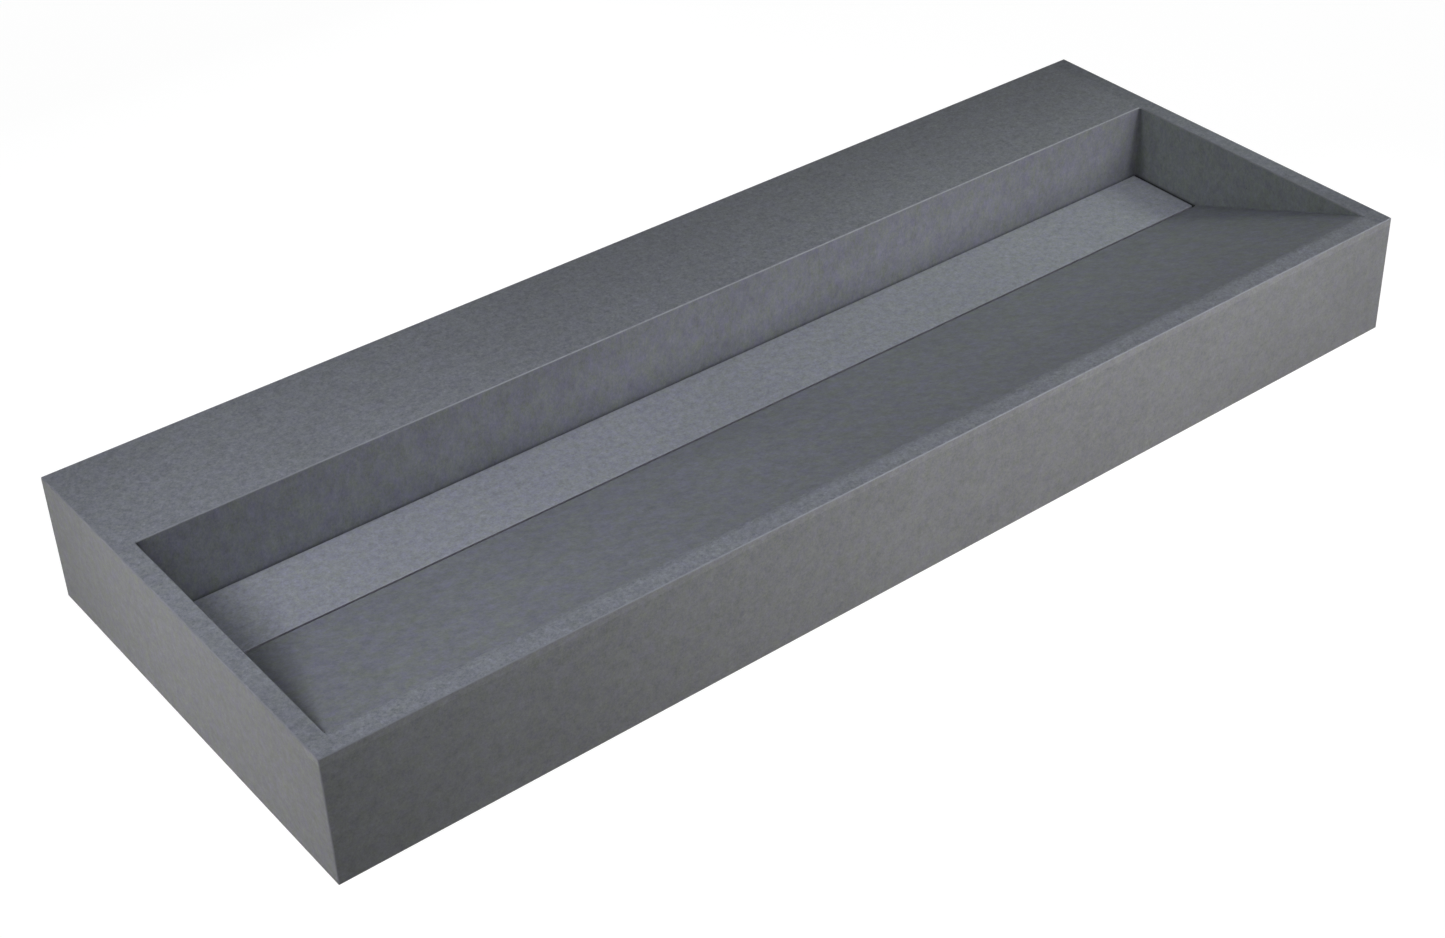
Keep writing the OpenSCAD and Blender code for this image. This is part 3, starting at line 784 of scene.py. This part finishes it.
# The cut cells are painted darker in their hollows as shade, and lighter on their walls as light
cells = place(tree, "ShaderNodeTexVoronoi",
              {"Vector": own_place(tree), "Scale": foam_cells_to_a_metre}).outputs["Distance"]
cell_wall = ramp_between(tree, cells, *foam_wall)
wire(tree, shader, {
    "Base Color": blend_colour(tree, cell_wall, rgba(seal_grey, seal_hollow_shade_gain),
                               rgba(seal_grey, seal_cell_wall_light_gain)),
    "Roughness": ramp_between(tree, cell_wall, 0.0, 1.0, *foam_roughness)})
add_relief(tree, shader, times(tree, cell_wall, foam_height), strength=0.7)
dress(cad["flange_seal"], seal_foam)

# ------------------------------------------------------------------------------
# Drain body. Turned from brass bar and left raw: a coarse thread runs down its outside for the
# lock nut, the strainer screws into its wide bore and the tailpiece into its narrow end.
brass_clean = (0.74, 0.55, 0.27)
brass_tarnish = (0.38, 0.25, 0.12)
waste_axis = Vector((0.0, -0.17850, 0.0))
waste_segments = 72
body_crest = 0.0206
body_chamfer = 0.0004
body_top_z = -0.0491
body_end_z = -0.0946
body_bores = ((0.015575, -0.0946), (0.015575, -0.0786), (0.014505, -0.0786), (0.014505, -0.0670),
              (0.0181, -0.0641), (0.0181, -0.0491))
body_thread_pitch = 0.0021
body_thread_depth = 0.0010
body_thread_start = -0.0625
body_lead_in = 0.0014
body_rings_to_a_turn = 8
body_crease_degrees = 60
thread_root_flat, thread_flank_gain = 0.10, 1.25
thread_crest_margin = 0.0002

raw_brass = metal_finish("raw_brass", brass_clean, brass_tarnish, roughness=0.20,
                         stain_strength=0.65, edge_light=1.15)

# Cuts a thread into the outer wall of a turned mesh, with a run-out at both ends
cut_thread, takes, gives = start_group("GeometryNodeTree", "cut_thread", [
    ("Geometry", GEOMETRY, None), ("Pitch", VALUE, 0.002), ("Depth", VALUE, 0.001),
    ("Low", VALUE, 0.0), ("High", VALUE, 0.0), ("Lead In", VALUE, 0.001), ("Crest", VALUE, 0.02),
    ("Metal", MATERIAL, None)], [("Geometry", GEOMETRY)])
tree = cut_thread
spot = place(tree, "GeometryNodeInputPosition").outputs[0]
axis = split(tree, spot)
flat = calc_vector(tree, "MULTIPLY", spot, (1.0, 1.0, 0.0))
radius = calc_vector(tree, "LENGTH", flat, result="Value")
turn = calc(tree, "DIVIDE", calc(tree, "ARCTAN2", axis[1], axis[0]), 2 * math.pi)
climb = calc(tree, "SUBTRACT", calc(tree, "DIVIDE", axis[2], takes["Pitch"]), turn)
tooth = calc(tree, "ABSOLUTE", times(tree, calc(tree, "FRACT", climb), 2.0, -1.0))
flank = calc(tree, "SUBTRACT", tooth, thread_root_flat, clamp=True)
flank = calc(tree, "MULTIPLY", flank, thread_flank_gain, clamp=True)
from_low = calc(tree, "SUBTRACT", axis[2], takes["Low"])
from_high = calc(tree, "SUBTRACT", takes["High"], axis[2])
fade_low = calc(tree, "DIVIDE", from_low, takes["Lead In"], clamp=True)
fade_high = calc(tree, "DIVIDE", from_high, takes["Lead In"], clamp=True)
on_crest = calc(tree, "COMPARE", radius, takes["Crest"], thread_crest_margin)
cut = times(tree, times(tree, flank, takes["Depth"]),
            times(tree, on_crest, times(tree, fade_low, fade_high)))
outwards = calc_vector(tree, "NORMALIZE", flat)
inwards = place(tree, "ShaderNodeVectorMath", {0: outwards, "Scale": times(tree, cut, -1.0)},
                operation="SCALE").outputs[0]
threaded = place(tree, "GeometryNodeSetPosition", {0: takes["Geometry"], "Offset": inwards})
deliver(tree, threaded, takes["Metal"], gives)


def many_rings(radius, low, high, step):
    """Outline points up a straight wall, close enough together to carry a thread."""
    count = max(2, round((high - low) / step))
    return [(radius, low + (high - low) * k / count) for k in range(count + 1)]


def sharpen(piece, degrees):
    """Keeps creases on a turned piece while its round walls shade smooth."""
    for edge in piece.data.edges:
        edge.use_edge_sharp = False
    made = bmesh.new()
    made.from_mesh(piece.data)
    for edge in made.edges:
        if len(edge.link_faces) == 2 and edge.calc_face_angle() > math.radians(degrees):
            edge.smooth = False
    made.to_mesh(piece.data)
    made.free()


body_outline = [(body_crest - body_chamfer, body_end_z)]
body_outline += many_rings(body_crest, body_end_z + body_chamfer, body_thread_start,
                           body_thread_pitch / body_rings_to_a_turn)
body_outline += [(body_crest, body_top_z - body_chamfer), (body_crest - body_chamfer, body_top_z)]
body_outline += reversed(body_bores)
body_mesh = turned_mesh("drain_body_turned", body_outline, waste_segments)
drain_body = bake_shape("drain_body_threaded", body_mesh, cut_thread, {
    "Pitch": body_thread_pitch, "Depth": body_thread_depth, "Low": body_end_z,
    "High": body_thread_start, "Lead In": body_lead_in, "Crest": body_crest, "Metal": raw_brass})
drain_body.data.transform(Matrix.Translation(waste_axis))
sharpen(drain_body, body_crease_degrees)
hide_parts("drain_body")
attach(drain_body, "sink")
dress(cad["drain_body"], raw_brass)

# ------------------------------------------------------------------------------
# Basin gasket. A moulded ring of black rubber, flat below and tapered above, pushed up into the
# waste hole from underneath.
rubber_black = (0.022, 0.022, 0.024)
rubber_bloomed = (0.075, 0.075, 0.078)
rubber_rubbed = (0.085, 0.085, 0.088)
rubber_rubbed_share = 0.3
rubber_roughness = 0.50
bloom_size, bloom_share = 0.007, 0.35
bloom_edge = (0.45, 0.75)
bloom_roughness = 0.20
mould_grain_size, mould_grain_height = 0.0009, 0.00005
mould_grain_roughness = 0.12

black_rubber, tree, shader = finish("black_rubber", Specular_IOR_Level=0.35)
where = own_place(tree)
bloom = ramp_between(tree, grain(tree, where, bloom_size, detail=4.0, warp=0.4), *bloom_edge)
mould_grain = grain(tree, where, mould_grain_size, detail=2.0, roughness=0.5)
edge_masks = use_effect(tree, edge_mask_group, {"Radius": 0.0006, "Raggedness": 0.4})
rubber = blend_colour(tree, times(tree, bloom, bloom_share), rgba(rubber_black),
                      rgba(rubber_bloomed))
rubbed = times(tree, edge_masks["Mask"], rubber_rubbed_share)
rough = times(tree, mould_grain, mould_grain_roughness, rubber_roughness)
wire(tree, shader, {
    "Base Color": blend_colour(tree, rubbed, rubber, rgba(rubber_rubbed)),
    "Roughness": times(tree, bloom, bloom_roughness, rough)})
height = times(tree, mould_grain, mould_grain_height)
add_relief(tree, shader, height, strength=0.6, normal=edge_masks["Soft Normal"])
dress(cad["basin_gasket"], black_rubber)

# ------------------------------------------------------------------------------
# Friction washer. A ring punched from white polyethylene sheet that lets the nut turn without
# dragging the rubber round.
washer_white = (0.78, 0.78, 0.75)
washer_scuffed = (0.60, 0.60, 0.57)
washer_roughness, scuff_roughness = 0.38, 0.22
scuff_size, scuff_share = 0.005, 0.4
scuff_edge = (0.50, 0.75)
sheet_grain_size, sheet_grain_height = 0.0007, 0.00003

white_plastic, tree, shader = finish("white_plastic", IOR=1.51, Subsurface_Weight=0.15,
                                     Subsurface_Scale=0.002)
where = own_place(tree)
scuff = grain(tree, where, scuff_size, detail=4.0, roughness=0.7, warp=1.2)
scuff = ramp_between(tree, scuff, *scuff_edge)
sheet_grain = grain(tree, where, sheet_grain_size, detail=2.0, roughness=0.5)
wire(tree, shader, {
    "Base Color": blend_colour(tree, times(tree, scuff, scuff_share), rgba(washer_white),
                               rgba(washer_scuffed)),
    "Roughness": times(tree, scuff, scuff_roughness, washer_roughness)})
add_relief(tree, shader, times(tree, sheet_grain, sheet_grain_height), strength=0.5)
dress(cad["friction_washer"], white_plastic)

# ------------------------------------------------------------------------------
# Lock nut. Hexagon brass bar, faced and chamfered on both sides, which clamps the gasket
# against the underside of the basin.
nut_clean = (0.76, 0.57, 0.29)

nut_brass = metal_finish("nut_brass", nut_clean, brass_tarnish, roughness=0.24,
                         stain_strength=0.50, edge_light=1.15)
dress(cad["lock_nut"], nut_brass)

# ------------------------------------------------------------------------------
# Tailpiece. Thin brass tube of 1 1/4 in, chrome plated, with a rolled thread at its upper end
# that screws into the drain body. The trap slips over its plain lower end.
tail_outer = 0.015875
tail_bore = 0.014505
tail_end_z = -0.2046
tail_step_z = -0.0966
tail_top_z = -0.0786
tail_lip = 0.0003
tail_thread_crest = 0.015475
tail_thread_pitch = 0.0011
tail_thread_depth = 0.0005
tail_thread_rise, tail_thread_drop = 0.0001, 0.0004
tail_lead_in = 0.0006
tail_ring_step = 0.00014
tail_crease_degrees = 50
tail_stain = (0.53, 0.53, 0.52)

tail_chrome = metal_finish("tail_chrome", chrome_bright, tail_stain, roughness=0.09,
                           stain_strength=0.45, edge_light=1.08)
tail_outline = [(tail_outer - tail_lip, tail_end_z), (tail_outer, tail_end_z + tail_lip),
                (tail_outer, tail_step_z - tail_lip), (tail_thread_crest, tail_step_z)]
tail_outline += many_rings(tail_thread_crest, tail_step_z + tail_thread_rise, tail_top_z,
                           tail_ring_step)
tail_outline += [(tail_bore, tail_top_z), (tail_bore, tail_end_z + tail_lip),
                 (tail_bore + tail_lip, tail_end_z)]
tail_mesh = turned_mesh("tailpiece_tube", tail_outline, waste_segments)
tailpiece = bake_shape("tailpiece_threaded", tail_mesh, cut_thread, {
    "Pitch": tail_thread_pitch, "Depth": tail_thread_depth, "Low": tail_step_z - tail_thread_drop,
    "High": tail_top_z, "Lead In": tail_lead_in, "Crest": tail_thread_crest,
    "Metal": tail_chrome})
tailpiece.data.transform(Matrix.Translation(waste_axis))
sharpen(tailpiece, tail_crease_degrees)
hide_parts("tailpiece")
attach(tailpiece, "sink")
dress(cad["tailpiece"], tail_chrome)

# ------------------------------------------------------------------------------
# Studio. A seamless white table below the waste pipe, a long strip of light in front and above,
# a small lamp over the right end, two lamps at the left and one low in front for the apron. Two
# below the rim's level light the rear face and the right one, and two underneath the hollows.
table_z = -0.2062
table_half = 9.0
table_white = (0.80, 0.80, 0.80)
table_glow = 0.965
table_shadow_share = 0.14
room_light = (0.93, 0.99, 0.97)
room_level = 0.137
# Of each lamp: its name, place, aim, width and height, beam in degrees, watts and colour
lamps = (
    ("front_strip", (0.059, -1.046, 0.797), (0.060, -0.272, 0.0), (1.39, 0.37), 25, 0.834,
     (0.88, 0.90, 1.0)),
    ("right_top", (0.834, -0.219, 0.703), (0.400, -0.208, 0.0), (0.25, 0.54), 30, 0.133,
     (0.94, 1.0, 0.90)),
    ("left_key", (-1.108, -0.210, 0.738), (-0.195, -0.218, 0.0), (0.32, 0.32), 75, 1.61,
     (0.92, 0.925, 1.0)),
    ("left_low", (-1.746, -0.435, 0.162), (-0.566, -0.272, 0.0), (0.69, 0.32), 25, 0.404,
     (1.0, 0.925, 0.96)),
    ("front_low", (0.42, -1.757, 0.391), (0.34, -0.253, 0.0), (1.19, 0.25), 48, 1.82,
     (1.0, 0.95, 0.98)),
    ("rear_low", (0.0, 1.25, -0.06), (0.0, 0.0, -0.02), (1.30, 0.20), 60, 2.6, (0.98, 0.98, 1.0)),
    ("right_low", (1.45, -0.15, -0.02), (0.60, -0.2285, -0.01), (0.25, 0.12), 60, 0.7,
     (1.0, 0.96, 0.98)),
    ("under_left", (-0.33, -0.22, -0.203), (-0.33, -0.225, 0.0), (0.45, 0.30), 140, 0.40,
     (1.0, 0.98, 0.95)),
    ("under_right", (0.33, -0.22, -0.203), (0.33, -0.225, 0.0), (0.45, 0.30), 140, 0.40,
     (1.0, 0.98, 0.95)))


def looked_at(tree):
    """1 where the camera looks, straight or by way of a mirror or clear plastic, else 0."""
    path = place(tree, "ShaderNodeLightPath").outputs
    return calc(tree, "MAXIMUM", path["Is Camera Ray"],
                calc(tree, "MAXIMUM", path["Is Glossy Ray"], path["Is Transmission Ray"]))


table_mesh = bpy.data.meshes.new("table")
table_mesh.from_pydata([(table_half * x, table_half * y, table_z)
                        for x, y in ((-1, -1), (1, -1), (1, 1), (-1, 1))], [], [(0, 1, 2, 3)])
table = bpy.data.objects.new("table", table_mesh)
scene.collection.objects.link(table)
table_paper = bpy.data.materials.new("table_paper")
table_paper.use_nodes = True
tree = table_paper.node_tree
tree.nodes.clear()
# Lit by the lamps, the table is plain white paper; looked at, it glows, with a faint shadow, and
# from below it isn't there
lit = place(tree, "ShaderNodeBsdfDiffuse", {"Color": rgba(table_white)})
seen_lit = place(tree, "ShaderNodeBsdfDiffuse", {"Color": rgba((table_shadow_share,) * 3)})
glow = place(tree, "ShaderNodeEmission", {"Strength": table_glow})
seen = place(tree, "ShaderNodeAddShader", {0: glow.outputs[0], 1: seen_lit.outputs[0]})
paper = place(tree, "ShaderNodeMixShader",
              {0: looked_at(tree), 1: lit.outputs[0], 2: seen.outputs[0]})
below = place(tree, "ShaderNodeNewGeometry").outputs["Backfacing"]
clear = place(tree, "ShaderNodeBsdfTransparent")
one_sided = place(tree, "ShaderNodeMixShader", {0: below, 1: paper.outputs[0], 2: clear.outputs[0]})
place(tree, "ShaderNodeOutputMaterial", {"Surface": one_sided.outputs[0]})
table_mesh.materials.append(table_paper)

room = bpy.data.worlds.new("room")
scene.world = room
room.use_nodes = True
tree = room.node_tree
tree.nodes.clear()
dim = place(tree, "ShaderNodeBackground", {"Color": rgba(room_light), "Strength": room_level})
white = place(tree, "ShaderNodeBackground", {"Color": (1, 1, 1, 1), "Strength": 1.0})
either = place(tree, "ShaderNodeMixShader",
               {0: looked_at(tree), 1: dim.outputs[0], 2: white.outputs[0]})
place(tree, "ShaderNodeOutputWorld", {"Surface": either.outputs[0]})

for name, lamp_place, aim, size, beam, watts, colour in lamps:
    light = bpy.data.lights.new(name, "AREA")
    light.shape = "RECTANGLE"
    light.size, light.size_y = size
    light.spread = math.radians(beam)
    light.energy, light.color = watts, colour
    lamp = bpy.data.objects.new(name, light)
    lamp.location = lamp_place
    lamp.rotation_mode = "QUATERNION"
    lamp.rotation_quaternion = (Vector(aim) - lamp.location).to_track_quat("-Z", "Y")
    lamp.visible_camera = False
    scene.collection.objects.link(lamp)

scene.view_settings.view_transform = "Standard"
